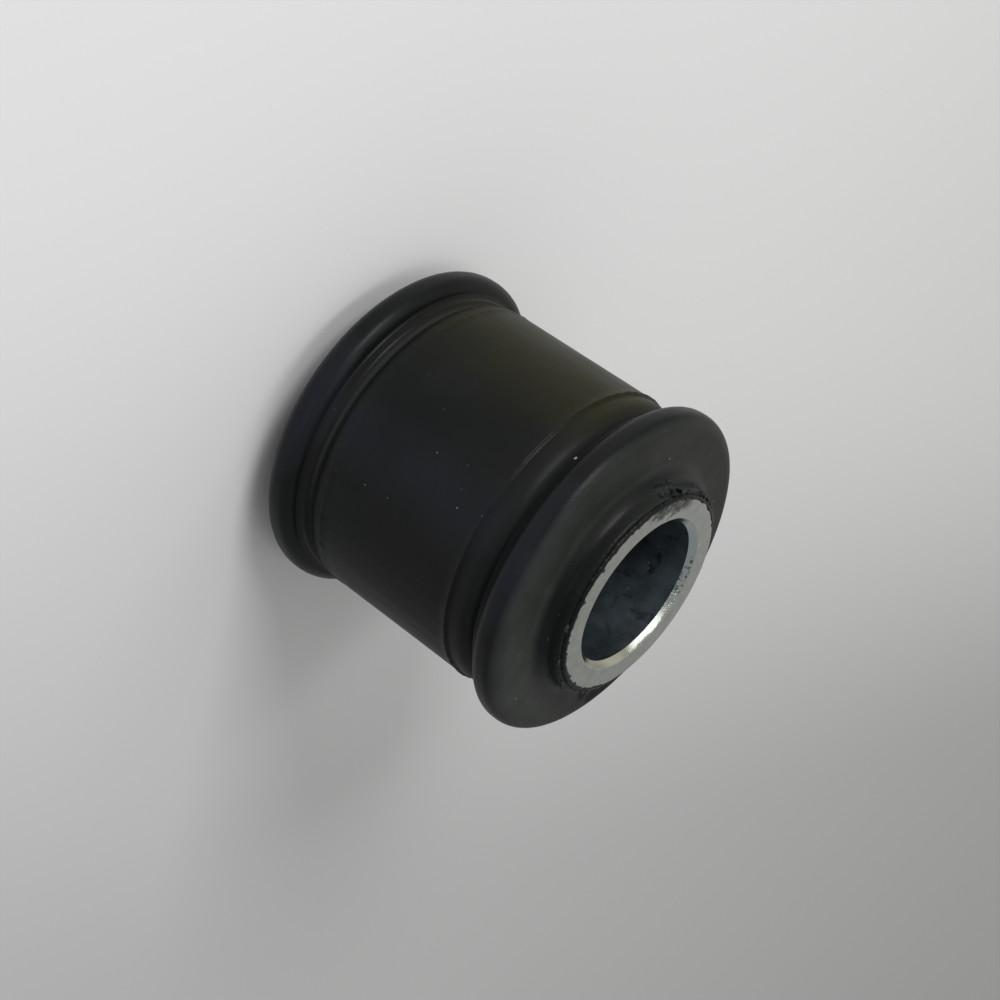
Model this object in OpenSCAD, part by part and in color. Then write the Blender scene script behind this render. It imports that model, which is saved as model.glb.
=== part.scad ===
// Shock absorber bushing: a moulded rubber body bonded onto a steel tube.
// The axis of the bore is Z and the origin is its middle. All lengths are in millimetres.

/* [Steel sleeve] */
// Outer diameter of the sleeve
sleeve_d = 22; // [19:0.5:24]
// Diameter of the bore that the bolt passes through
bore_d = 16; // [10:0.5:18]
// Length of the sleeve from end to end
sleeve_len = 37; // [36.4:0.2:60]
// Chamfer at each mouth of the bore
bore_chamfer = 0.6; // [0.2:0.1:1]
// Chamfer around the outside of each end
edge_chamfer = 0.2; // [0.05:0.05:0.25]

/* [Rubber body] */
// Diameter of the plain middle that is pressed into the eye
body_d = 33; // [31:0.5:34]
// Distance between the two flange faces
flange_span = 31.6; // [24:0.2:32.2]
// Diameter over the flanges
flange_d = 36; // [35:0.5:44]
// Thickness of each flange
flange_t = 3.4; // [3.2:0.1:5]
// Radius of the rim on the side of the groove
rim_back_r = 1.4; // [0.4:0.1:1.6]
// Radius of the rim on the side of the end face
rim_front_r = 1.6; // [0.5:0.1:1.8]

/* [Ledges and grooves] */
// Width of the ledge between each flange and its groove
ledge_w = 0.95; // [0.3:0.05:2]
// How far the ledge's edge at the flange lies below the plain middle
ledge_drop = 0.05; // [0:0.05:0.3]
// How much lower the ledge's edge at the groove lies
ledge_fall = 0.25; // [0.1:0.05:0.4]
// Width of the groove at its mouth
groove_w = 0.8; // [0.4:0.1:2]
// Depth of the groove below the plain middle
groove_depth = 1.3; // [1:0.1:3]

/* [Shoulders and mould lines] */
// Radius of the shoulder beside each groove
shoulder_r = 2; // [0.5:0.1:3.5]
// Angle through which the shoulder turns before it drops into the groove
shoulder_turn = 40; // [15:1:45]
// Width of the band between the upper mould line and the upper shoulder
band_up = 1.3; // [0.3:0.05:6]
// Width of the band between the lower mould line and the lower shoulder
band_down = 0.35; // [0.3:0.05:6]
// How far the upper band lies below the plain middle
band_drop = 0.2; // [0:0.05:0.5]
// Height of the sharp lip that the mould leaves at each mould line
lip_h = 0.1; // [0:0.05:0.4]
// Half of the lip's width
lip_half_w = 0.15; // [0.05:0.05:0.3]

/* [Collars] */
// Thickness of the rubber collar around each end of the sleeve
collar_t = 0.6; // [0.4:0.05:1.2]
// How far each end of the sleeve stands out of its collar
sleeve_proud = 0.3; // [0.25:0.05:0.6]
// Radius of the fillet between the flange face and the collar
root_r = 1.8; // [0.6:0.1:2]
// Radius of the collar's outer edge
collar_edge_r = 0.25; // [0.1:0.05:0.35]

/* [Hidden] */
$fn = 96;
arc_steps = 10;
// The wall behind the rim leans back by this many degrees
rim_lean = 15;
// Extra length that lets a cutting shape pass clear through
clear = 1;

sleeve_r = sleeve_d / 2;
half_len = sleeve_len / 2;
body_r = body_d / 2;
flange_r = flange_d / 2;
groove_r = body_r - groove_depth;
ledge_r = body_r - ledge_drop;
collar_r = sleeve_r + collar_t;

// Heights above the centre plane, from the collar back to the shoulder
collar_z = half_len - sleeve_proud;
face_z = flange_span / 2;
back_z = face_z - flange_t;
ledge_z = back_z - ledge_w;
groove_z = ledge_z - groove_w;
shoulder_z = groove_z - shoulder_r * sin(shoulder_turn);

// Points along an arc around centre c, as [distance from the axis, height]
function arc(c, r, from, to) = [
    for (i = [0 : arc_steps])
        let (a = from + (to - from) * i / arc_steps)
        [c[0] + r * cos(a), c[1] + r * sin(a)]
];

// Outline of one half, from its mould line out to the sleeve.
// The band beyond the mould line is this wide, and lies this far below the plain middle.
function half_outline(band_w, drop) = concat(
    [
        [body_r, shoulder_z - band_w - lip_half_w],
        [body_r + lip_h, shoulder_z - band_w],
        [body_r - drop, shoulder_z - band_w + lip_half_w]
    ],
    arc([body_r - drop - shoulder_r, shoulder_z], shoulder_r, 0, shoulder_turn),
    [
        [groove_r, (groove_z + ledge_z) / 2],
        [ledge_r - ledge_fall, ledge_z],
        [ledge_r, back_z]
    ],
    arc([flange_r - rim_back_r, back_z + rim_back_r], rim_back_r, rim_lean - 90, 0),
    arc([flange_r - rim_front_r, face_z - rim_front_r], rim_front_r, 0, 90),
    arc([collar_r + root_r, face_z + root_r], root_r, 270, 180),
    arc([collar_r - collar_edge_r, collar_z - collar_edge_r], collar_edge_r, 0, 90),
    [[sleeve_r, collar_z]]
);

// The same points turned upside down, in the opposite order
function flipped(points) = [
    for (i = [len(points) - 1 : -1 : 0]) [points[i][0], -points[i][1]]
];

// Steel tube with a chamfered bore
module inner_sleeve() {
    color("lightslategray")
    difference() {
        rotate_extrude()
            polygon([
                [0, -half_len],
                [sleeve_r - edge_chamfer, -half_len],
                [sleeve_r, -half_len + edge_chamfer],
                [sleeve_r, half_len - edge_chamfer],
                [sleeve_r - edge_chamfer, half_len],
                [0, half_len]
            ]);
        cylinder(d = bore_d, h = sleeve_len + 2 * clear, center = true);
        for (side = [0, 1])
            mirror([0, 0, side])
                translate([0, 0, half_len - bore_chamfer])
                    cylinder(
                        r1 = bore_d / 2,
                        r2 = bore_d / 2 + bore_chamfer + clear,
                        h = bore_chamfer + clear
                    );
    }
}

// Rubber moulded around the sleeve, with a flange and a collar at each end
module rubber_body() {
    color([0.16, 0.17, 0.16])
    rotate_extrude()
        polygon(concat(
            flipped(half_outline(band_down, 0)),
            half_outline(band_up, band_drop)
        ));
}

inner_sleeve();
rubber_body();
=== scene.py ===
"""Looks of the shock absorber bushing: moulded rubber on a steel sleeve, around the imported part.

Lengths are named in millimetres and turned into metres by MM. The bore's axis is Z. Angles around
the axis are in degrees, measured from +X towards +Y, so the camera's side is near 270.
"""

import math
import random

import bmesh
import bpy
from mathutils import Matrix, Vector, noise


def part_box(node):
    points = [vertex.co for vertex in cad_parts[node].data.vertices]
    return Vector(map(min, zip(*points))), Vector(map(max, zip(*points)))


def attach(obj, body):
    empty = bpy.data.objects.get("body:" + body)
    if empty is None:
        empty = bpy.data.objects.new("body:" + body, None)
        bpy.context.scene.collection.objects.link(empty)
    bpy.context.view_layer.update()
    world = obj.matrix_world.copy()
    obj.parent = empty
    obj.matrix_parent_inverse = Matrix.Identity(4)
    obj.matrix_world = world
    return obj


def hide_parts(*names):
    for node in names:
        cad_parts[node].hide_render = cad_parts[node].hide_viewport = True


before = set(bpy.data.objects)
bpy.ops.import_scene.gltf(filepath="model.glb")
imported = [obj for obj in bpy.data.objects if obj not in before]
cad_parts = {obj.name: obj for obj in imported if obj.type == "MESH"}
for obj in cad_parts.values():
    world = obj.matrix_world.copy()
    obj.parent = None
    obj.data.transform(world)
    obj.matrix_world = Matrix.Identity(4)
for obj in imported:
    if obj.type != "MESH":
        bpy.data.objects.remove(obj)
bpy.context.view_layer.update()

MM = 0.001

# Overall sizes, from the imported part
SLEEVE_LOW, SLEEVE_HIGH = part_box("inner_sleeve")
RUBBER_LOW, RUBBER_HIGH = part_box("rubber_body")
HALF_LEN = SLEEVE_HIGH.z / MM
SLEEVE_R = SLEEVE_HIGH.x / MM
FLANGE_R = RUBBER_HIGH.x / MM
COLLAR_Z = RUBBER_HIGH.z / MM

# Steel sleeve
BORE_R = 8.0
BORE_CHAMFER = 0.6
EDGE_CHAMFER = 0.2
SLEEVE_TURNS = 360
SLEEVE_STEP = 0.22
BORE_STEP = 1.5

# Rubber body
BODY_R = 16.5
FACE_Z = 15.8
FLANGE_T = 3.4
RIM_BACK_R = 1.4
RIM_FRONT_R = 1.6
RIM_LEAN = 15
LEDGE_W = 0.95
LEDGE_DROP = 0.05
LEDGE_FALL = 0.25
GROOVE_W = 0.8
GROOVE_DEPTH = 1.3
BACK_Z = FACE_Z - FLANGE_T
LEDGE_Z = BACK_Z - LEDGE_W
GROOVE_Z = LEDGE_Z - GROOVE_W
SHOULDER_R = 2.0
SHOULDER_TURN = 40
BAND_UP = 1.3
BAND_DOWN = 0.35
BAND_DROP = 0.2
LIP_H = 0.1
LIP_HALF_W = 0.15
COLLAR_T = 0.6
ROOT_R = 1.8
ROOT_STOP = 200
COLLAR_EDGE_R = 0.25
RUBBER_TURNS = 540
RUBBER_STEP = 0.27
MIDDLE_STEP = 0.85

# How uneven the moulding is
SLOW_WOBBLE = 0.03
FINE_WOBBLE = 0.006
LIP_RAG = 0.06
COLLAR_RAG = 0.08

# The gash in the collar: where it is, how far it reaches, and the torn flap below it
GASH_ANGLE = 214
GASH_SPREAD = 5
GASH_Z = 17.9
GASH_HALF_H = 0.45
GASH_DEPTH = 0.5
FLAP_DROP = 0.85
FLAP_HALF_H = 0.3
FLAP_OUT = 0.35

# Thin rubber flash that laps over the sleeve's end
FLASH_TURNS = 1800
FLASH_THICK = 0.03
FLASH_REACH = 0.14
FLASH_BARE = (35, 148)
# Torn teeth of flash: angle, and how far each reaches over the steel
FLASH_TEETH = (
    (242, 0.4), (247, 0.3), (260, 0.35), (271, 0.65), (290, 0.6), (305, 0.25), (315, 0.35),
    (323, 0.3), (345, 0.45), (356, 0.4), (20, 0.3), (188, 0.2), (203, 0.35),
)
TOOTH_HALF_W = 1.7

# Crumbs of torn rubber on the collar: first angle, last angle, how many
CRUMB_ZONES = ((166, 210, 30), (345, 392, 20), (296, 340, 5))
CRUMB_SIZES = (0.1, 0.28)
CRUMB_SPREAD = 0.85
# How lumpy each crumb is, how far it is drawn out around the sleeve, and how flat it lies
CRUMB_LUMPS = 0.7
CRUMB_DRAWN = 1.5
CRUMB_FLAT = 0.6

# Specks of pale dust: distance from the axis, angle, height, radius
SPECKS = (
    (12.34, 313, 15.95, 0.12), (13.8, 209, 15.8, 0.11), (15.5, 345, 15.8, 0.11), (16.22, 245, 11.55, 0.2),
    (16.5, 270, 0.3, 0.06), (16.5, 293, -4.9, 0.06), (16.5, 292, -2.0, 0.05), (16.5, 281, 5.2, 0.07),
)

# Middle angles of the painted olive sheen on the moulding and of the painted cool streak of highlight on
# its plain middle
OLIVE_SHEEN_ANGLE = 205
COOL_STREAK_ANGLE = 280
# Angle at which the dust and painted sheen on the flange face are palest
BLOOM_SHEEN_ANGLE = 335

# Painted black shade in the gash in the collar, the first four, and dark patches on the flange face:
# distance from the axis, angle, height, radius, how black
SHADE_AND_DARK_SPOTS = (
    (11.6, 209, 17.95, 0.4, 1.0), (11.6, 213, 17.9, 0.5, 1.0), (11.6, 217, 17.8, 0.45, 0.9),
    (11.6, 222, 17.7, 0.4, 0.6),
    (13.0, 30, 15.9, 0.8, 0.7), (14.6, 38, 15.8, 1.2, 0.65), (16.0, 45, 15.8, 1.4, 0.65),
    (16.2, 51, 15.8, 1.4, 0.65), (17.0, 56, 15.6, 1.4, 0.65),
)

# Smear of rubber film on the steel end: its middle angle, where it starts, and half of its width
SMEAR_ANGLE = 214
SMEAR_START = 9.2
SMEAR_HALF_W = 3.2

# Middle angle of the pitted stretch of the bore's chamfer
PIT_ANGLE = 116
# Angle at which the chamfer and the bore are bluest, and towards which the bore is painted lighter as
# painted light; the chamfer is yellowest across from there
BLUE_ANGLE = 165
# Middle angle of the stretch of the chamfer painted dimmer, as painted shade
CHAMFER_SHADE_ANGLE = 2

# The floor, in metres from the axis to its sides. Its colour darkens towards an angle, between two
# distances from the axis, as painted shade.
FLOOR_HALF = 3.0
FLOOR_ANGLE = 17.7
FLOOR_SPAN = (-22, 83)
FLOOR_PALE = 0.87
FLOOR_DEEP = 0.6

# Camera, in its own frame: how the bore's axis leans, and where the part's centre lies
AXIS_TURN = math.radians(34.9)
AXIS_TILT = math.radians(27.2)
CENTRE_RIGHT = 0.09
CENTRE_DOWN = -0.27
CENTRE_AHEAD = 202.9
FOCAL_PX = 2011
PHOTO_PX = 1000
SENSOR_MM = 36


def arc(centre_r, centre_z, radius, start, stop, steps):
    """Points (distance from the axis, height) along an arc, both angles in degrees."""
    points = []
    for i in range(steps + 1):
        a = math.radians(start + (stop - start) * i / steps)
        points.append((centre_r + radius * math.cos(a), centre_z + radius * math.sin(a)))
    return points


def stretch(start, stop, longest):
    """Points from start to stop, stop left out, with no step longer than the given length."""
    parts = max(1, math.ceil(math.dist(start, stop) / longest))
    return [
        (start[0] + (stop[0] - start[0]) * i / parts, start[1] + (stop[1] - start[1]) * i / parts)
        for i in range(parts)
    ]


def densify(outline, longest):
    """The same outline with no step longer than the given length."""
    dense = []
    for start, stop in zip(outline, outline[1:]):
        dense += stretch(start, stop, longest)
    return dense + [outline[-1]]


def mould_height(band_w):
    """How far the mould line lies from the centre plane, for a band of the given width."""
    return GROOVE_Z - SHOULDER_R * math.sin(math.radians(SHOULDER_TURN)) - band_w


def lip_outline(mould_z, drop):
    """The thin bead that the mould leaves, from the plain middle to the band beyond.

    It stands up only half as far where no band drops away beyond it.
    """
    lip = LIP_H if drop > 0 else LIP_H * 0.5
    return [
        (BODY_R, mould_z - LIP_HALF_W - 0.05),
        (BODY_R + lip * 0.8, mould_z - LIP_HALF_W * 0.5),
        (BODY_R + lip, mould_z),
        (BODY_R + lip * 0.5 - drop * 0.4, mould_z + LIP_HALF_W * 0.7),
        (BODY_R - drop, mould_z + LIP_HALF_W * 1.6),
    ]


def half_outline(band_w, drop):
    """One half of the rubber's outline, from its mould line to the sleeve."""
    mould_z = mould_height(band_w)
    shoulder_z = mould_z + band_w
    ledge_r = BODY_R - LEDGE_DROP
    collar_r = SLEEVE_R + COLLAR_T
    return (
        lip_outline(mould_z, drop)
        + arc(BODY_R - drop - SHOULDER_R, shoulder_z, SHOULDER_R, 0, SHOULDER_TURN, 6)
        + [(BODY_R - GROOVE_DEPTH, (GROOVE_Z + LEDGE_Z) / 2)]
        + [(ledge_r - LEDGE_FALL, LEDGE_Z), (ledge_r, BACK_Z)]
        + arc(FLANGE_R - RIM_BACK_R, BACK_Z + RIM_BACK_R, RIM_BACK_R, RIM_LEAN - 90, 0, 6)
        + arc(FLANGE_R - RIM_FRONT_R, FACE_Z - RIM_FRONT_R, RIM_FRONT_R, 0, 90, 10)
        + arc(collar_r + ROOT_R, FACE_Z + ROOT_R, ROOT_R, 270, ROOT_STOP, 9)
        + arc(collar_r - COLLAR_EDGE_R, COLLAR_Z - COLLAR_EDGE_R, COLLAR_EDGE_R, 0, 90, 3)
        + [(SLEEVE_R, COLLAR_Z)]
    )


def ring_noise(angle, detail, seed):
    """Smooth noise from about -1 to 1 that closes on itself around the axis."""
    return noise.noise(Vector((math.cos(angle) * detail, math.sin(angle) * detail, seed)))


def share(value, low, high):
    """0 below low, 1 above high, and a straight ramp between."""
    return min(1.0, max(0.0, (value - low) / (high - low)))


def apart(angle, degrees):
    """How many degrees lie between an angle in radians and one in degrees."""
    return abs((math.degrees(angle) - degrees + 180) % 360 - 180)


def sweep_ring(name, section, turns, materials, paint=None):
    """A closed ring around Z. section(angle) gives its outline there, always with as many points.

    paint(r, z) gives the number of the material for a row of faces whose middle lies there.
    """
    verts = []
    for k in range(turns):
        a = 2 * math.pi * k / turns
        for r, z in section(a):
            verts.append((r * MM * math.cos(a), r * MM * math.sin(a), z * MM))
    rows = len(verts) // turns
    faces = []
    for k in range(turns):
        n = (k + 1) % turns
        for i in range(rows):
            j = (i + 1) % rows
            faces.append((k * rows + i, n * rows + i, n * rows + j, k * rows + j))
    mesh = bpy.data.meshes.new(name)
    mesh.from_pydata(verts, [], faces)
    mesh.shade_smooth()
    for material in materials:
        mesh.materials.append(material)
    if paint:
        paint_rows(mesh, section(0), turns, paint)
    mesh.update()
    return add_piece(name, mesh)


def paint_rows(mesh, outline, turns, paint):
    """Gives each row of a ring's faces the material that paint(r, z) numbers for its middle."""
    kinds = []
    for (r0, z0), (r1, z1) in zip(outline, outline[1:] + outline[:1]):
        kinds.append(paint((r0 + r1) / 2, (z0 + z1) / 2))
    mesh.polygons.foreach_set("material_index", kinds * turns)


def add_piece(name, mesh):
    piece = bpy.data.objects.new(name, mesh)
    bpy.context.scene.collection.objects.link(piece)
    return piece


def dress(piece, slot, *nodes):
    """Lets a piece ride on the part in place of the given nodes, which it hides; the slot is not used."""
    if nodes:
        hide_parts(*nodes)
    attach(piece, "root")


class Shade:
    """A material's node tree, with short calls that add nodes and return their output sockets."""

    def __init__(self, name):
        self.material = bpy.data.materials.new(name)
        self.material.use_nodes = True
        self.tree = self.material.node_tree
        self.shader = self.tree.nodes["Principled BSDF"]
        where = self.tree.nodes.new("ShaderNodeTexCoord").outputs["Object"]
        self.mm = self.vector("SCALE", where, scale=1 / MM)

    def put(self, socket, value):
        if isinstance(value, bpy.types.NodeSocket):
            self.tree.links.new(value, socket)
        else:
            socket.default_value = value

    def set(self, **values):
        """Sets the shader's own inputs, by their labels with _ for each space."""
        for label, value in values.items():
            self.put(self.shader.inputs[label.replace("_", " ")], value)

    def vector(self, operation, first, second=None, scale=None):
        node = self.tree.nodes.new("ShaderNodeVectorMath")
        node.operation = operation
        self.put(node.inputs[0], first)
        if second is not None:
            self.put(node.inputs[1], second)
        if scale is not None:
            self.put(node.inputs["Scale"], scale)
        single = operation in ("DOT_PRODUCT", "LENGTH", "DISTANCE")
        return node.outputs["Value" if single else "Vector"]

    def math(self, operation, first, second=0.0):
        node = self.tree.nodes.new("ShaderNodeMath")
        node.operation = operation
        self.put(node.inputs[0], first)
        self.put(node.inputs[1], second)
        return node.outputs[0]

    def ramp(self, value, low, high, from_value=0.0, to_value=1.0, soft=False):
        """A clamped ramp of a value, straight or with soft ends."""
        node = self.tree.nodes.new("ShaderNodeMapRange")
        node.interpolation_type = "SMOOTHSTEP" if soft else "LINEAR"
        self.put(node.inputs["Value"], value)
        node.inputs["From Min"].default_value = low
        node.inputs["From Max"].default_value = high
        node.inputs["To Min"].default_value = from_value
        node.inputs["To Max"].default_value = to_value
        return node.outputs[0]

    def toward(self, degrees, low, high):
        """0 to 1 where a point lies from low to high millimetres out from the axis towards an angle."""
        a = math.radians(degrees)
        return self.ramp(self.vector("DOT_PRODUCT", self.mm, (math.cos(a), math.sin(a), 0)), low, high)

    def noise(self, scale, detail=3.0, squash=(1, 1, 1), shift=(0, 0, 0)):
        """Cloudy noise with the given number of waves to a millimetre."""
        place = self.vector("ADD", self.vector("MULTIPLY", self.mm, squash), shift)
        node = self.tree.nodes.new("ShaderNodeTexNoise")
        self.put(node.inputs["Vector"], place)
        node.inputs["Scale"].default_value = scale
        node.inputs["Detail"].default_value = detail
        return node.outputs["Fac"]

    def cells(self, scale):
        """Distance to the nearest of many scattered points."""
        node = self.tree.nodes.new("ShaderNodeTexVoronoi")
        self.put(node.inputs["Vector"], self.mm)
        node.inputs["Scale"].default_value = scale
        return node.outputs["Distance"]

    def mix(self, amount, first, second):
        node = self.tree.nodes.new("ShaderNodeMix")
        node.data_type = "RGBA"
        self.put(node.inputs["Factor"], amount)
        self.put(node.inputs[6], first)
        self.put(node.inputs[7], second)
        return node.outputs[2]

    def bump(self, height, depth, under=None):
        """Bump of a height from 0 to 1, its full depth given in millimetres."""
        node = self.tree.nodes.new("ShaderNodeBump")
        self.put(node.inputs["Height"], height)
        node.inputs["Distance"].default_value = depth * MM
        if under is not None:
            self.put(node.inputs["Normal"], under)
        return node.outputs["Normal"]


def paint_of(r, g, b):
    return (r, g, b, 1.0)


def spot_at(r, degrees, z):
    """The point at a distance from the axis, an angle and a height."""
    a = math.radians(degrees)
    return (r * math.cos(a), r * math.sin(a), z)


def skin_tone(s, cloud):
    """Near black of the bare moulding, cloudy, bluer in some places and greener in others."""
    tint = s.ramp(s.noise(0.07, 2, shift=(30, 0, 0)), 0.35, 0.65)
    dark = s.mix(tint, paint_of(0.0040, 0.0054, 0.0060), paint_of(0.0046, 0.0056, 0.0044))
    pale = s.mix(tint, paint_of(0.0064, 0.0078, 0.0082), paint_of(0.0074, 0.0084, 0.0068))
    return s.mix(cloud, dark, pale)


def olive_sheen_share(s, cloud, plain):
    """How much painted olive sheen there is, a tint of reflected light: most along one side, and none on
    the flanges.
    """
    side = s.toward(OLIVE_SHEEN_ANGLE, BODY_R * 0.66, BODY_R)
    patchy = s.math("MULTIPLY", side, s.ramp(cloud, 0, 1, 0.85, 1.0))
    return s.math("MULTIPLY", s.math("POWER", patchy, 2.0), plain)


def cool_streak_share(s, cloud):
    """How much painted cool highlight there is: a streak along the middle."""
    side = s.toward(COOL_STREAK_ANGLE, BODY_R * 0.96, BODY_R)
    return s.math("MULTIPLY", side, s.ramp(cloud, 0, 1, 0.5, 1.0))


def face_share(s, height, radius):
    """1 on the faces of the flanges and 0 elsewhere."""
    return s.math("MULTIPLY", s.ramp(height, FACE_Z - 1.0, FACE_Z - 0.3),
                  s.ramp(radius, SLEEVE_R + 1.2, SLEEVE_R + 2.0))


def bloom_and_sheen_share(s, face, level, radius):
    """How much pale bloom lies on the flange faces, partly dust and partly painted sheen of reflected
    light, and on the collar's wall below the gash.
    """
    patchy = s.ramp(s.noise(0.4, 4, shift=(0, 0, 70)), 0.3, 0.7, 0.65, 1.05)
    bloom_and_sheen = s.math("MULTIPLY", face, patchy)
    bloom_and_sheen = s.math("MULTIPLY", bloom_and_sheen, s.ramp(radius, BODY_R, BODY_R - 3, 0.75, 1.0))
    wall = s.math("MULTIPLY", s.toward(GASH_ANGLE, SLEEVE_R - 2, SLEEVE_R + 0.5),
                  s.ramp(level, FACE_Z + 0.2, FACE_Z + 1.2, 0, 0.42))
    wall = s.math("MULTIPLY", wall, s.ramp(radius, SLEEVE_R, SLEEVE_R + 0.4))
    return s.math("MAXIMUM", bloom_and_sheen, wall)


def groove_painted_light(s, colour, level, height, radius):
    """Lays pale paint into both grooves as painted light that lightens their shade, palest at the far
    end.
    """
    hollow = s.math("MULTIPLY", s.ramp(radius, BODY_R - 0.4, BODY_R - 0.8),
                    s.ramp(height, BACK_Z, LEDGE_Z))
    groove_light_paint = s.mix(s.ramp(level, -1, 1), paint_of(0.045, 0.047, 0.046), paint_of(0.018, 0.019, 0.019))
    return s.mix(hollow, colour, groove_light_paint)


def shade_and_dark_share(s, level):
    """How far the rubber is painted black and dulled: painted shade along part of the upper ledge, more
    in the gash, and dark patches on the flange face.
    """
    shade_and_dark = s.math("MULTIPLY", s.ramp(level, LEDGE_Z - 0.05, LEDGE_Z + 0.1, 0, 0.6),
                  s.ramp(level, BACK_Z + 0.9, BACK_Z - 0.1))
    ragged = s.ramp(s.noise(2.2, 3), 0.3, 0.7, -0.25, 0.25)
    for r, angle, z, size, depth in SHADE_AND_DARK_SPOTS:
        away = s.math("ADD", s.vector("DISTANCE", s.mm, spot_at(r, angle, z)), ragged)
        shade_and_dark = s.math("MAXIMUM", shade_and_dark, s.ramp(away, size, size * 0.5, 0, depth))
    return shade_and_dark


def dust_share(s):
    """How much pale dust there is: faint lint and fine specks all over, and a few larger specks."""
    lint = s.ramp(s.cells(0.45), 0.05, 0.02, 0, 0.12)
    dust = s.math("MAXIMUM", lint, s.ramp(s.cells(0.21), 0.012, 0.006))
    for r, angle, z, size in SPECKS:
        near = s.ramp(s.vector("DISTANCE", s.mm, spot_at(r, angle, z)), size, size * 0.6)
        dust = s.math("MAXIMUM", dust, near)
    return dust


def rubber_colour(s, level, height, radius, cloud, olive, face, shade_and_dark, dust):
    """The moulding's tone, with the painted olive sheen, the painted cool highlight, the pale bloom and
    painted sheen, the painted light in the grooves, the painted shade and dark patches, and the dust laid
    over it in turn.
    """
    colour = skin_tone(s, cloud)
    # Painted sheen: an olive tint of reflected light laid into the colour along one side
    colour = s.mix(olive, colour, paint_of(0.0182, 0.0170, 0.0045))
    # Painted highlight: a cool streak laid into the colour along the middle
    colour = s.mix(cool_streak_share(s, cloud), colour, paint_of(0.0105, 0.0110, 0.0150))
    # Pale dust and painted sheen: the flange faces are painted lighter in place of the light they
    # reflect, palest towards one angle
    bloom_and_sheen_paint = s.mix(s.toward(BLOOM_SHEEN_ANGLE, 6, 16), paint_of(0.031, 0.034, 0.031),
                   paint_of(0.044, 0.048, 0.044))
    colour = s.mix(bloom_and_sheen_share(s, face, level, radius), colour, bloom_and_sheen_paint)
    # Painted light: the grooves are painted paler where too little light reaches them
    colour = groove_painted_light(s, colour, level, height, radius)
    # Painted shade on the ledge and in the gash, and dark patches on the flange face
    colour = s.mix(shade_and_dark, colour, paint_of(0.0015, 0.0020, 0.0020))
    return s.mix(dust, colour, paint_of(0.3, 0.3, 0.28))


def rubber_material():
    """Black moulded rubber: cloudy tone, drag lines along the axis, fine grain and pale dust."""
    s = Shade("black_rubber")
    level = s.vector("DOT_PRODUCT", s.mm, (0, 0, 1))
    height = s.math("ABSOLUTE", level)
    radius = s.vector("LENGTH", s.vector("MULTIPLY", s.mm, (1, 1, 0)))
    cloud = s.ramp(s.noise(0.13, 4), 0.35, 0.65)
    middle = s.ramp(height, BODY_R * 0.6, BODY_R * 0.5)
    drag = s.math("MULTIPLY", s.noise(1.6, 3, squash=(1, 1, 0.06)), middle)
    plain = s.ramp(height, BACK_Z + 0.1, BACK_Z - 1.5)
    handled = s.math("MULTIPLY", s.toward(0, BODY_R * 0.5, BODY_R * 0.85), plain)
    rounded = s.math("MULTIPLY", s.ramp(height, BODY_R * 0.52, BODY_R * 0.57),
                     s.ramp(height, LEDGE_Z, LEDGE_Z - 0.6))
    olive = olive_sheen_share(s, cloud, plain)
    face = face_share(s, height, radius)
    shade_and_dark = shade_and_dark_share(s, level)
    dust = dust_share(s)
    colour = rubber_colour(s, level, height, radius, cloud, olive, face, shade_and_dark, dust)
    rough = s.math("ADD", s.ramp(cloud, 0, 1, 0.35, 0.40), s.ramp(drag, 0.3, 0.7, 0, 0.06))
    for where, more in ((face, 0.12), (dust, 0.3), (rounded, 0.12)):
        rough = s.math("ADD", rough, s.ramp(where, 0, 1, 0, more))
    gloss = s.ramp(handled, 0, 1, 0.14, 0.09)
    for where, factor in ((rounded, 1.25), (shade_and_dark, 0.15), (olive, 0.66)):
        gloss = s.math("MULTIPLY", gloss, s.ramp(where, 0, 1, 1.0, factor))
    normal = s.bump(s.noise(5.0, 3), 0.016)
    normal = s.bump(s.noise(1.1, 3, shift=(0, 50, 0)), 0.012, normal)
    normal = s.bump(drag, 0.006, normal)
    s.set(Base_Color=colour, Roughness=rough, Normal=normal, Specular_IOR_Level=gloss)
    return s.material


def torn_material():
    """Torn rubber: matt, a little browner and paler than the moulded skin."""
    s = Shade("torn_rubber")
    cloud = s.ramp(s.noise(1.5, 3), 0.3, 0.7)
    colour = s.mix(cloud, paint_of(0.010, 0.0115, 0.011), paint_of(0.034, 0.038, 0.034))
    normal = s.bump(s.noise(6.0, 4), 0.04)
    s.set(Base_Color=colour, Roughness=0.6, Normal=normal, Specular_IOR_Level=0.3)
    return s.material


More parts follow.
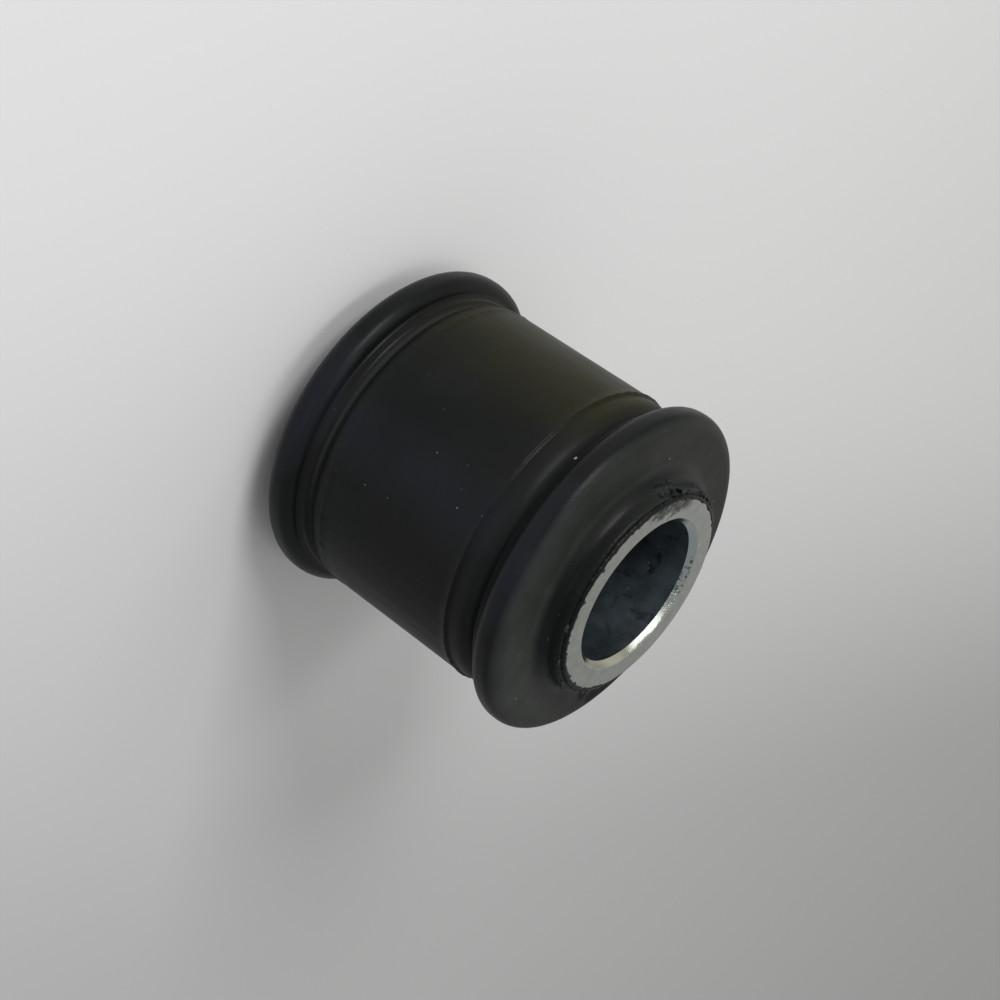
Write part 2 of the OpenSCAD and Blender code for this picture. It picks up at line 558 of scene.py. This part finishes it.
def steel_end_material():
    """Satin faced steel, mottled, with a film of rubber smeared over one stretch of its edge."""
    s = Shade("steel_end")
    mottle = s.ramp(s.noise(1.1, 5), 0.3, 0.7)
    fine = s.noise(7.0, 4)
    a = math.radians(SMEAR_ANGLE)
    outward = s.vector("DOT_PRODUCT", s.mm, (math.cos(a), math.sin(a), 0))
    sideways = s.math("ABSOLUTE", s.vector("DOT_PRODUCT", s.mm, (-math.sin(a), math.cos(a), 0)))
    patch = s.math("ADD", s.ramp(s.noise(1.3, 4, shift=(9, 0, 0)), 0.2, 0.8, -0.8, 0.8), outward)
    film = s.math("MULTIPLY", s.ramp(patch, SMEAR_START, SMEAR_START + 0.4),
                  s.ramp(sideways, SMEAR_HALF_W + 0.6, SMEAR_HALF_W - 0.6))
    film = s.math("MULTIPLY", film, s.ramp(s.noise(2.5, 3, shift=(0, 7, 0)), 0.3, 0.6, 0.45, 0.9))
    steel = s.mix(mottle, paint_of(0.40, 0.415, 0.39), paint_of(0.49, 0.505, 0.475))
    colour = s.mix(film, steel, paint_of(0.045, 0.047, 0.045))
    rough = s.math("ADD", s.ramp(mottle, 0, 1, 0.34, 0.46), s.ramp(film, 0, 1, 0, 0.2))
    normal = s.bump(fine, 0.008)
    normal = s.bump(mottle, 0.01, normal)
    s.set(Base_Color=colour, Roughness=rough, Metallic=1.0, Normal=normal)
    return s.material


def steel_chamfer_material():
    """Bright cut chamfer, with pits and dark spots along one stretch."""
    s = Shade("steel_chamfer")
    pitted = s.toward(PIT_ANGLE, BORE_R - 0.3, BORE_R + 0.1)
    pits = s.math("MULTIPLY", s.ramp(s.noise(2.4, 4), 0.48, 0.60), pitted)
    fine = s.noise(9.0, 3)
    blue = s.toward(BLUE_ANGLE, -BORE_R, BORE_R)
    cut = s.mix(blue, paint_of(0.60, 0.59, 0.45), paint_of(0.42, 0.49, 0.50))
    # Painted shade: one stretch of the chamfer is painted dimmer
    cut = s.mix(s.toward(CHAMFER_SHADE_ANGLE, BORE_R - 0.6, BORE_R + 0.2), cut, paint_of(0.33, 0.34, 0.29))
    colour = s.mix(pits, cut, paint_of(0.12, 0.14, 0.14))
    rough = s.ramp(pits, 0, 1, 0.16, 0.45)
    normal = s.bump(fine, 0.006)
    normal = s.bump(pits, -0.03, normal)
    s.set(Base_Color=colour, Roughness=rough, Metallic=1.0, Normal=normal)
    return s.material


def steel_bore_material():
    """Dark oxidised bore: blue grey with blotches, pale flecks and fine scratches along it, painted
    lighter towards one side as painted light.
    """
    s = Shade("steel_bore")
    blotch = s.ramp(s.noise(0.5, 4), 0.36, 0.66)
    dark_spots = s.ramp(s.noise(0.7, 4, shift=(0, 0, 20)), 0.58, 0.72)
    flecks = s.ramp(s.cells(0.8), 0.08, 0.04)
    lines = s.ramp(s.noise(3.2, 2, squash=(1, 1, 0.15)), 0.72, 0.78)
    # Painted light: the bore's colour is lighter and bluer towards one side
    side = s.toward(BLUE_ANGLE, -BORE_R, BORE_R)
    low = s.mix(side, paint_of(0.042, 0.052, 0.058), paint_of(0.088, 0.110, 0.124))
    high = s.mix(side, paint_of(0.052, 0.065, 0.075), paint_of(0.108, 0.141, 0.164))
    colour = s.mix(blotch, low, high)
    colour = s.mix(dark_spots, colour, paint_of(0.030, 0.037, 0.040))
    pale = s.math("MAXIMUM", flecks, s.math("MULTIPLY", lines, 0.5))
    colour = s.mix(pale, colour, paint_of(0.3, 0.34, 0.36))
    rough = s.ramp(blotch, 0, 1, 0.42, 0.55)
    normal = s.bump(s.noise(4.0, 4), 0.02)
    s.set(Base_Color=colour, Roughness=rough, Metallic=0.7, Normal=normal)
    return s.material


def gash_push(height, angle):
    """How far the gash in the collar and the torn flap below it move the skin outward."""
    across = math.exp(-(apart(angle, GASH_ANGLE + (GASH_Z - height) * 5) / GASH_SPREAD) ** 2)
    gash = math.exp(-((height - GASH_Z) / GASH_HALF_H) ** 4)
    flap = math.exp(-((height - GASH_Z + FLAP_DROP) / FLAP_HALF_H) ** 2)
    ragged = 1 + ring_noise(angle, 60, 8)
    return (FLAP_OUT * flap * ragged - GASH_DEPTH * gash) * across


def rubber_move(r, z, angle):
    """Moves a point of the rubber's outline by what moulding, trimming and handling left uneven."""
    end = math.copysign(1, z)
    height = abs(z)
    free = share(r, SLEEVE_R + 0.1, SLEEVE_R + 0.5)
    push = ring_noise(angle, 1.6, z * 0.12) * SLOW_WOBBLE + ring_noise(angle, 16, z * 1.3) * FINE_WOBBLE
    outward = push * free * share(FACE_Z + 0.1 - height, 0, 2)
    upward = push * free * share(height, FACE_Z - 1.8, FACE_Z)
    for line in (mould_height(BAND_UP), -mould_height(BAND_DOWN)):
        if abs(z - line) < LIP_HALF_W * 0.8 and r > BODY_R - 0.05:
            outward += ring_noise(angle, 22, line) * LIP_RAG
            upward += ring_noise(angle, 30, line + 5) * 0.03
    top = share(height, COLLAR_Z - 0.6, COLLAR_Z)
    outward += ring_noise(angle, 26, end * 3) * COLLAR_RAG * 0.6 * top * free
    upward += ring_noise(angle, 34, end * 4) * COLLAR_RAG * top * free
    if end > 0 and r < SLEEVE_R + 1.5:
        outward += gash_push(height, angle) * free
    return r + outward, z + upward * end


def rubber_piece(material):
    low = [(r, -z) for r, z in reversed(half_outline(BAND_DOWN, 0.0))]
    high = half_outline(BAND_UP, BAND_DROP)
    middle = stretch(low[-1], high[0], MIDDLE_STEP)
    outline = densify(low, RUBBER_STEP)[:-1] + middle + densify(high, RUBBER_STEP)

    def section(angle):
        return [rubber_move(r, z, angle) for r, z in outline]

    piece = sweep_ring("rubber_moulding", section, RUBBER_TURNS, [material])
    dress(piece, "black_rubber", "rubber_body")


def flash_piece(material):
    piece = sweep_ring("rubber_flash", flash_section, FLASH_TURNS, [material])
    dress(piece, "black_rubber")


def flash_reach(angle):
    """How far the flash laps over the steel end at an angle."""
    reach = FLASH_REACH + 0.16 * ring_noise(angle, 9, 1) + 0.1 * ring_noise(angle, 26, 2)
    reach += 0.05 * ring_noise(angle, 80, 5)
    for tooth, length in FLASH_TEETH:
        width = TOOTH_HALF_W * (1 + 0.6 * ring_noise(angle, 90, 3))
        reach = max(reach, length * (1 - (apart(angle, tooth) / width) ** 2))
    return reach


def flash_section(angle):
    """Outline of the flash at an angle: from the collar's top up and over the steel's edge."""
    degrees = math.degrees(angle)
    first, last = FLASH_BARE
    bare = share(degrees, first - 6, first) * share(-degrees, -last - 4, -last)
    thick = FLASH_THICK * (1 + 0.5 * ring_noise(angle, 40, 4))
    top = HALF_LEN + thick - bare * 0.25
    inner = SLEEVE_R - EDGE_CHAMFER * 0.6 - flash_reach(angle) * (1 - bare) + bare * 0.1
    skirt = 0.2 + 0.16 * ring_noise(angle, 26, 6) + 0.08 * ring_noise(angle, 80, 9)
    return [
        (SLEEVE_R + skirt, COLLAR_Z - 0.1),
        (SLEEVE_R + skirt * 0.6, COLLAR_Z + 0.1),
        (SLEEVE_R + 0.04, top - 0.05),
        (SLEEVE_R - 0.08, top),
        (inner, top - thick * 0.4),
        (inner, top - thick - 0.02),
        (SLEEVE_R - 0.25, COLLAR_Z),
    ]


def collar_height(r):
    """Height of the collar or of the fillet at its root, at a distance from the axis."""
    if r < SLEEVE_R + COLLAR_T:
        return COLLAR_Z
    centre_r = SLEEVE_R + COLLAR_T + ROOT_R
    return FACE_Z + ROOT_R - math.sqrt(max(0.0, ROOT_R ** 2 - (centre_r - r) ** 2))


def crumb(bm, spot, angle, size, seed):
    """Adds one torn, lumpy crumb, drawn out around the sleeve, to a mesh that is being built."""
    made = bmesh.ops.create_icosphere(bm, subdivisions=2, radius=size * MM)
    turn = Matrix.Rotation(angle, 3, "Z")
    for vert in made["verts"]:
        bump = noise.noise(vert.co / (size * MM) * 1.3 + Vector((seed, 0, 0)))
        lump = vert.co * (1 + CRUMB_LUMPS * bump)
        lump.y *= CRUMB_DRAWN
        lump.z *= CRUMB_FLAT
        vert.co = turn @ lump + spot


def crumbs_piece(material):
    chance = random.Random(11)
    bm = bmesh.new()
    for first, last, count in CRUMB_ZONES:
        for i in range(count):
            a = math.radians(chance.uniform(first, last))
            r = SLEEVE_R + chance.uniform(0.15, CRUMB_SPREAD)
            size = chance.uniform(*CRUMB_SIZES)
            spot = Vector((r * math.cos(a), r * math.sin(a), collar_height(r))) * MM
            crumb(bm, spot, a, size, chance.uniform(0, 50))
    mesh = bpy.data.meshes.new("rubber_crumbs")
    bm.to_mesh(mesh)
    bm.free()
    mesh.shade_smooth()
    mesh.materials.append(material)
    dress(add_piece("rubber_crumbs", mesh), "black_rubber")


def sleeve_outline():
    """Half of the sleeve's outline, from the middle of the bore around the end to the outside."""
    mouth = HALF_LEN - BORE_CHAMFER
    rim = BORE_R + BORE_CHAMFER
    corners = [
        (BORE_R, 0),
        (BORE_R, mouth),
        (rim - 0.06, HALF_LEN - 0.065),
        (rim - 0.03, HALF_LEN - 0.04),
        (rim + 0.03, HALF_LEN),
        (SLEEVE_R - EDGE_CHAMFER - 0.03, HALF_LEN),
        (SLEEVE_R - EDGE_CHAMFER + 0.03, HALF_LEN - 0.02),
        (SLEEVE_R, HALF_LEN - EDGE_CHAMFER),
        (SLEEVE_R, HALF_LEN - 1),
    ]
    return stretch(corners[0], corners[1], BORE_STEP) + densify(corners[1:], SLEEVE_STEP)


def sleeve_move(r, z, angle):
    """Dents and wavers the sleeve's edges a little, as sawing, facing and deburring leave them."""
    edge = math.exp(-((r - BORE_R - BORE_CHAMFER) / 0.15) ** 2) * share(abs(z), HALF_LEN - 0.3, HALF_LEN)
    waver = 0.03 * ring_noise(angle, 5, z) + 0.02 * ring_noise(angle, 24, z + 3)
    return r + waver * edge, z


def sleeve_part(r, z):
    """Which of the sleeve's materials a row of faces takes: 0 end and outside, 1 chamfer, 2 bore."""
    if r < BORE_R + 0.001:
        return 2
    return 1 if r < BORE_R + BORE_CHAMFER and abs(z) < HALF_LEN - 0.001 else 0


def sleeve_piece():
    high = sleeve_outline()
    low = [(r, -z) for r, z in reversed(high[1:])]
    outline = high + low

    def section(angle):
        return [sleeve_move(r, z, angle) for r, z in outline]

    materials = [steel_end_material(), steel_chamfer_material(), steel_bore_material()]
    piece = sweep_ring("steel_sleeve", section, SLEEVE_TURNS, materials, sleeve_part)
    piece.data.set_sharp_from_angle(angle=math.radians(25))
    dress(piece, "sleeve_steel", "inner_sleeve")


def floor_material():
    """Plain pale floor that darkens softly to one side, as the photograph's backdrop does."""
    s = Shade("floor")
    a = math.radians(FLOOR_ANGLE)
    reach = s.vector("DOT_PRODUCT", s.mm, (math.cos(a), math.sin(a), 0))
    # Painted shade: the floor's colour darkens softly towards one side
    depth = s.ramp(reach, *FLOOR_SPAN, FLOOR_PALE, FLOOR_DEEP, soft=True)
    s.set(Base_Color=s.mix(depth, paint_of(0, 0, 0), paint_of(1, 1, 1)), Roughness=0.9)
    return s.material


def make_camera():
    """Places the camera so that the part lies in the picture as it does in the photograph."""
    axis, away, side = Vector((0, 0, 1)), Vector((0, 1, 0)), Vector((-1, 0, 0))
    ct, st = math.cos(AXIS_TURN), math.sin(AXIS_TURN)
    cp, sp = math.cos(AXIS_TILT), math.sin(AXIS_TILT)
    right = axis * cp * ct + away * sp * ct + side * st
    down = axis * cp * st + away * sp * st - side * ct
    ahead = -axis * sp + away * cp
    spot = -(right * CENTRE_RIGHT + down * CENTRE_DOWN + ahead * CENTRE_AHEAD) * MM
    data = bpy.data.cameras.new("camera")
    data.sensor_width = SENSOR_MM
    data.lens = FOCAL_PX / PHOTO_PX * SENSOR_MM
    data.clip_start = 0.01
    camera = bpy.data.objects.new("camera", data)
    turn = Matrix((right, -down, -ahead)).transposed()
    camera.matrix_world = Matrix.Translation(spot) @ turn.to_4x4()
    bpy.context.scene.collection.objects.link(camera)
    bpy.context.scene.camera = camera


def make_floor():
    mesh = bpy.data.meshes.new("floor")
    s, z = FLOOR_HALF, -HALF_LEN * MM
    mesh.from_pydata([(-s, -s, z), (s, -s, z), (s, s, z), (-s, s, z)], [], [(0, 1, 2, 3)])
    mesh.materials.append(floor_material())
    add_piece("floor", mesh)


def area_light(name, direction, distance, size, power, colour=(1, 1, 1), along=(0, 0, 1)):
    """A soft lamp that looks at the part from a direction, its width laid roughly along a line."""
    data = bpy.data.lights.new(name, "AREA")
    data.shape = "RECTANGLE"
    data.size, data.size_y = size
    data.energy = power
    data.color = colour
    lamp = bpy.data.objects.new(name, data)
    back = Vector(direction).normalized()
    up = back.cross(Vector(along)).normalized()
    turn = Matrix((up.cross(back), up, back)).transposed()
    lamp.matrix_world = Matrix.Translation(back * distance) @ turn.to_4x4()
    bpy.context.scene.collection.objects.link(lamp)


def make_lights():
    world = bpy.data.worlds.new("world")
    world.use_nodes = True
    sky = world.node_tree.nodes["Background"].inputs
    sky["Color"].default_value = (1, 1, 1, 1)
    sky["Strength"].default_value = 0.38
    bpy.context.scene.world = world
    area_light("key", (-0.564, -0.66, 0.495), 0.5, (0.18, 0.18), 1.25)
    area_light("strip", (-0.32, -0.31, 0.895), 0.5, (0.56, 0.08), 0.44, along=(0.8, -0.54, 0.24))
    area_light("right_back", (-0.55, 0.75, 0.4), 0.9, (1.0, 1.0), 0.64, (1.0, 0.96, 0.79))
    area_light("low_left", (0.42, -0.9, 0.1), 0.5, (0.15, 0.15), 0.13, (0.72, 0.78, 1.0))


bpy.context.scene.view_settings.view_transform = "Standard"
rubber = rubber_material()
rubber_piece(rubber)
flash_piece(rubber)
crumbs_piece(torn_material())
sleeve_piece()
make_camera()
make_floor()
make_lights()
